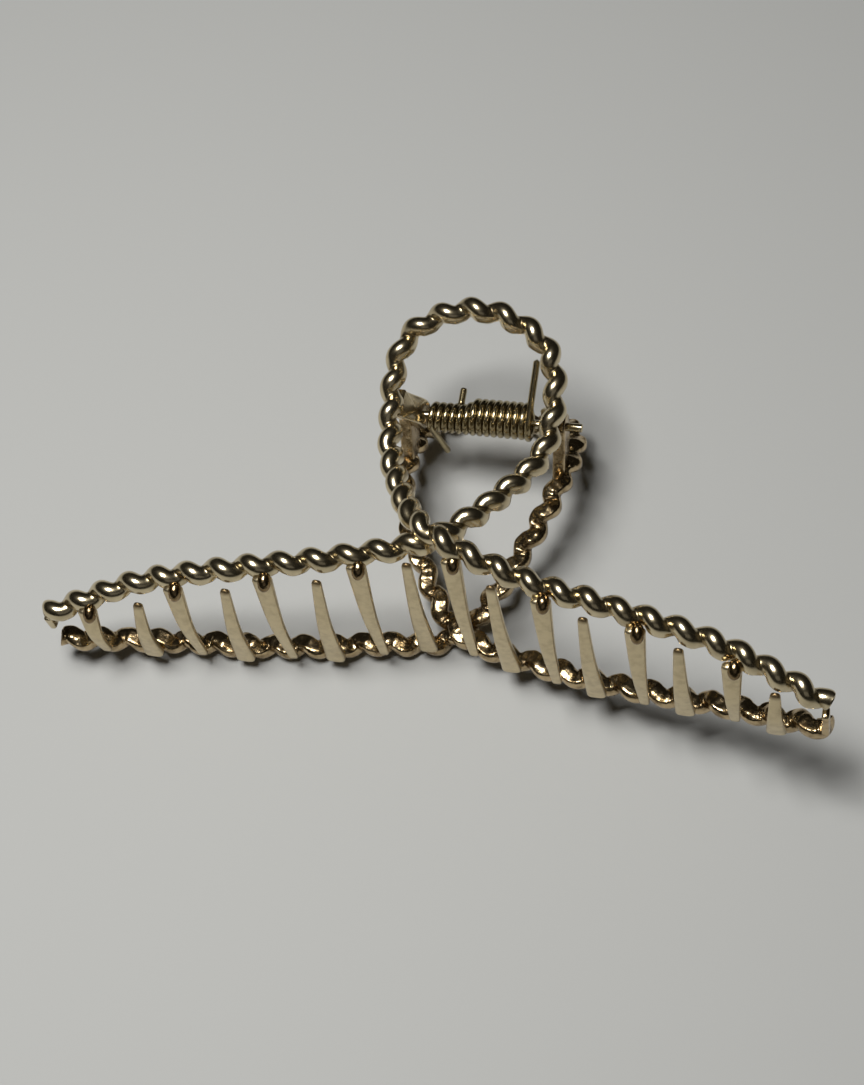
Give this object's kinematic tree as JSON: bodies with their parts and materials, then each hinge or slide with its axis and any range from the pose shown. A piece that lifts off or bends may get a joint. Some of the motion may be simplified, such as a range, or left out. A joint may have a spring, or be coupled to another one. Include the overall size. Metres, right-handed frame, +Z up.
{
  "type": "claw clip",
  "caption": "Metal hair claw clip: twin twisted-rope jaws with crossed loop handles, curved interlocking teeth, hinge pin and torsion spring.",
  "frame": {"origin": "below the middle of the clip's box, on the surface that the clip lies on", "axes": "+X along the jaws and roughly along the hinge, towards the raised end; +Y from the teeth towards the loop handles; +Z up, away from the surface"},
  "size_m": [0.1098, 0.0544, 0.0322],
  "materials": {
    "bright_gold_plate": "polished pale gold plate, slightly worn",
    "gold_plate": "polished gold plate, slightly worn",
    "pin_steel": "drawn pin, gold washed",
    "spring_wire": "drawn spring wire, gold washed"
  },
  "bodies": {
    "rear_half": {"rear_jaw": "gold_plate", "hinge_pin": "pin_steel", "torsion_spring": "spring_wire"},
    "front_half": {"front_jaw": "bright_gold_plate"}
  },
  "joints": [
    {"name": "jaw_hinge", "type": "hinge", "parent": "rear_half", "child": "front_half", "pos_m": [0.0001, 0.0158, 0.01522], "axis": [-0.9923, 0, -0.1236], "range_deg": [0, 90], "stiffness_Nm_per_rad": 0.08, "springref_deg": -57.3, "deforming": ["torsion_spring"]}
  ]
}
